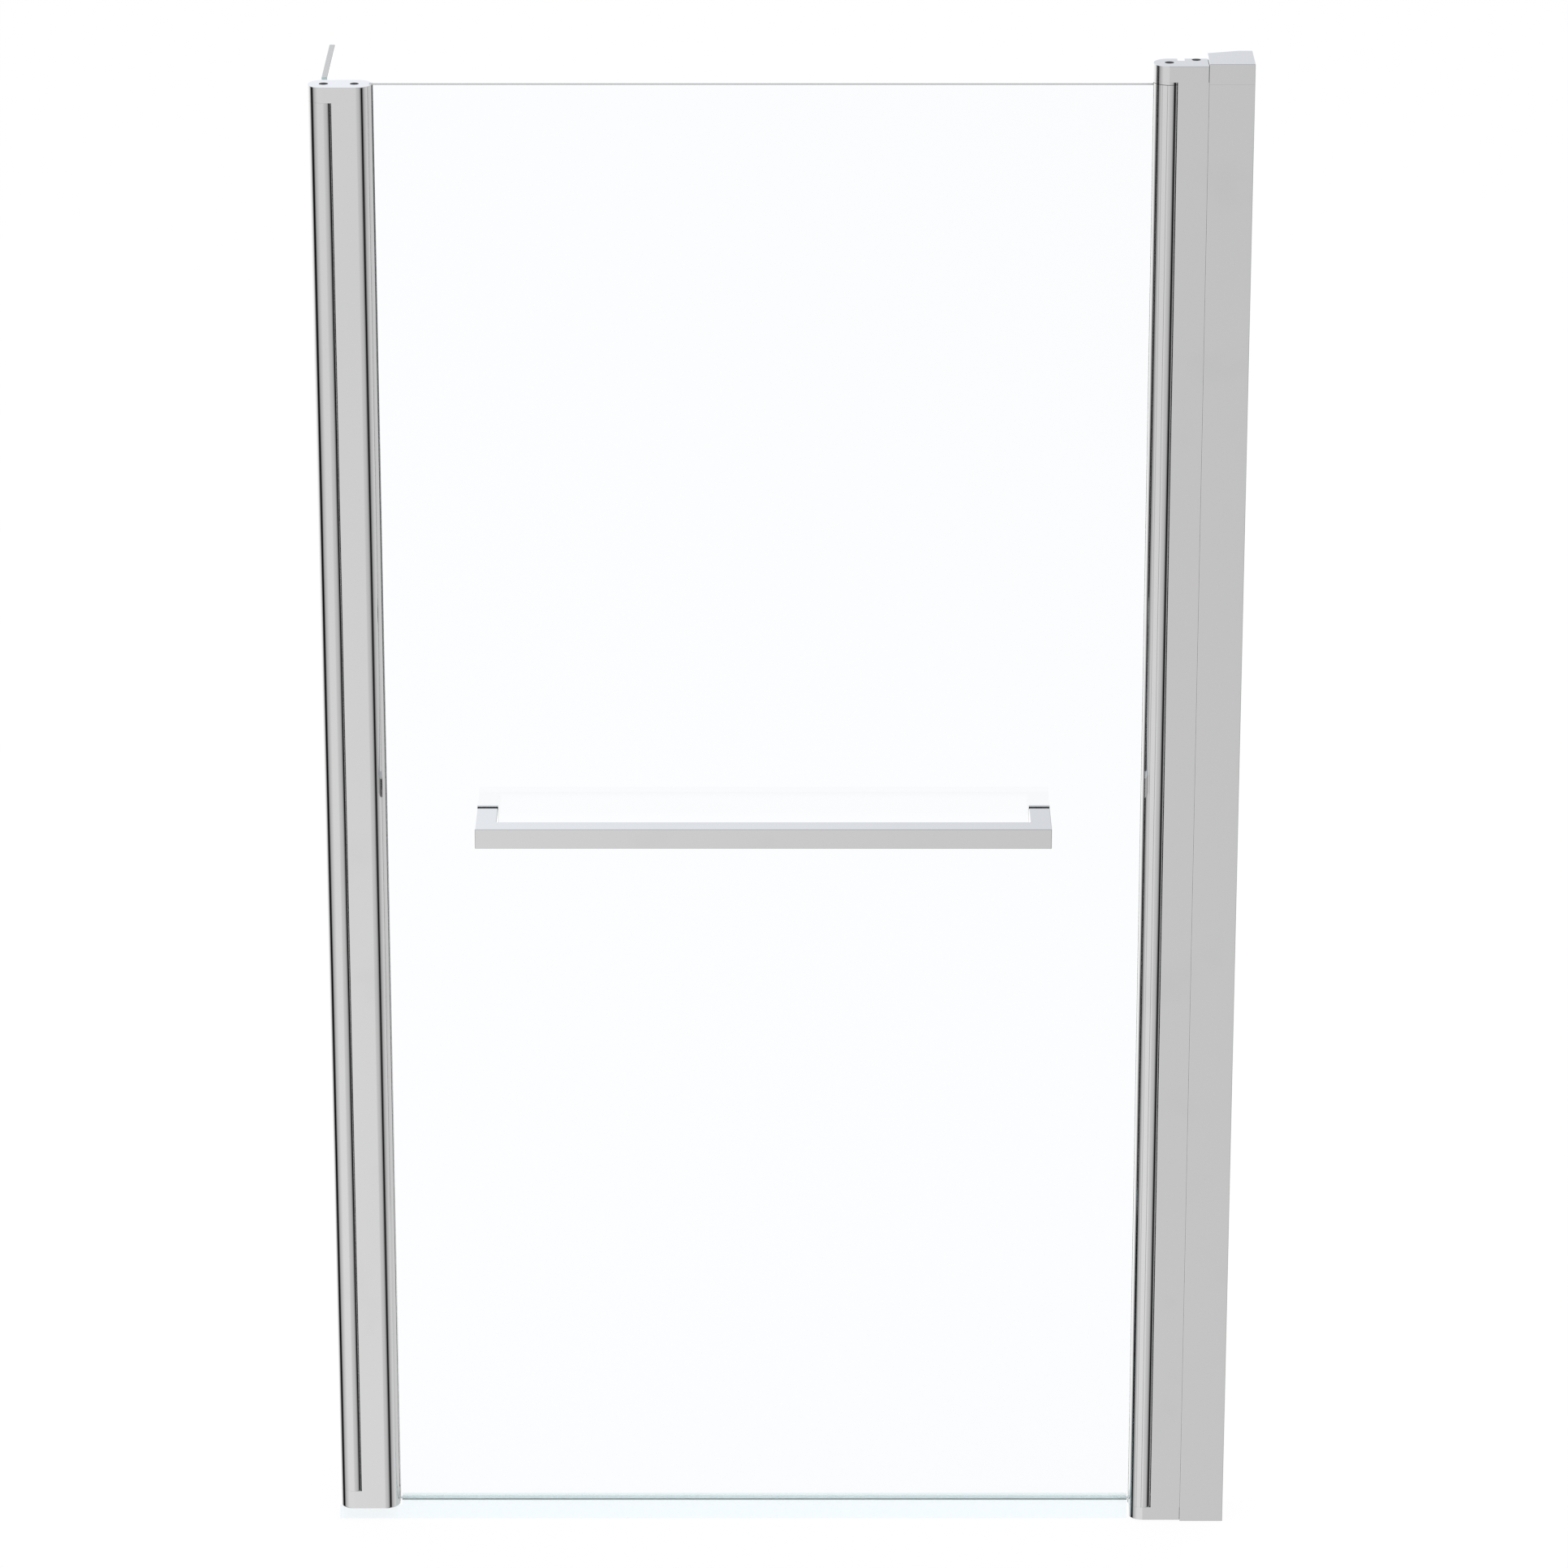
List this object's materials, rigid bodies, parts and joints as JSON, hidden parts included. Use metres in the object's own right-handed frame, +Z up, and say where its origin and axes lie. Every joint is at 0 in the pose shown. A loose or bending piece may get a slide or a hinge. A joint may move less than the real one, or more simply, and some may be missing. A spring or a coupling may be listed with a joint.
{
  "type": "bath screen",
  "caption": "Clear glass over-bath shower screen with bright posts, a towel rail and a hinged return panel, hung on vertical hinges from a wall profile.",
  "frame": {"origin": "on the wall, in the plane of the main glass, at the height of the bath rim", "axes": "+X into the wall, +Y from the main glass into the bath, +Z up"},
  "size_m": [0.8258, 0.1895, 1.4],
  "materials": {
    "bright_aluminium": "bright polished and anodised",
    "chrome_plated": "bright plated",
    "clear_glass": "clear toughened, polished edges",
    "clear_vinyl": "clear soft vinyl",
    "black_rubber": "matt",
    "stainless_steel": "plain stainless",
    "white_nylon": "moulded"
  },
  "bodies": {
    "wall_frame": {"wall_profile": "bright_aluminium", "wall_profile_cover": "bright_aluminium", "wall_profile_top_cap": "chrome_plated", "hinge_post": "bright_aluminium", "hinge_post_top_cap": "chrome_plated", "hinge_post_bottom_cap": "chrome_plated", "main_hinge_top_pin": "stainless_steel", "main_hinge_bottom_pin": "stainless_steel", "hinge_post_cap_screws": "stainless_steel", "post_locking_screws": "stainless_steel", "hinge_seal": "clear_vinyl"},
    "main_panel": {"main_glass": "clear_glass", "main_knuckle": "bright_aluminium", "main_knuckle_gasket": "clear_vinyl", "main_knuckle_top_bush": "white_nylon", "main_knuckle_bottom_bush": "white_nylon", "return_post": "bright_aluminium", "return_post_gasket": "clear_vinyl", "return_post_top_cap": "chrome_plated", "return_post_bottom_cap": "chrome_plated", "return_hinge_top_pin": "stainless_steel", "return_hinge_bottom_pin": "stainless_steel", "return_post_cap_screws": "stainless_steel", "return_hinge_seal": "clear_vinyl", "bottom_seal": "clear_vinyl", "towel_rail": "bright_aluminium", "towel_rail_washers": "black_rubber", "towel_rail_sleeves": "white_nylon", "towel_rail_back_plates": "chrome_plated", "towel_rail_bolts": "stainless_steel"},
    "return_panel": {"return_glass": "clear_glass", "return_knuckle": "bright_aluminium", "return_knuckle_gasket": "clear_vinyl", "return_knuckle_top_bush": "white_nylon", "return_knuckle_bottom_bush": "white_nylon", "return_bottom_seal": "clear_vinyl"}
  },
  "joints": [
    {"name": "main_hinge", "type": "hinge", "parent": "wall_frame", "child": "main_panel", "pos_m": [-0.0743, 0, 0], "axis": [0, 0, 1], "range_deg": [-90, 90]},
    {"name": "return_hinge", "type": "hinge", "parent": "main_panel", "child": "return_panel", "pos_m": [-0.8118, 0, 0], "axis": [0, 0, 1], "range_deg": [0, 180]}
  ]
}
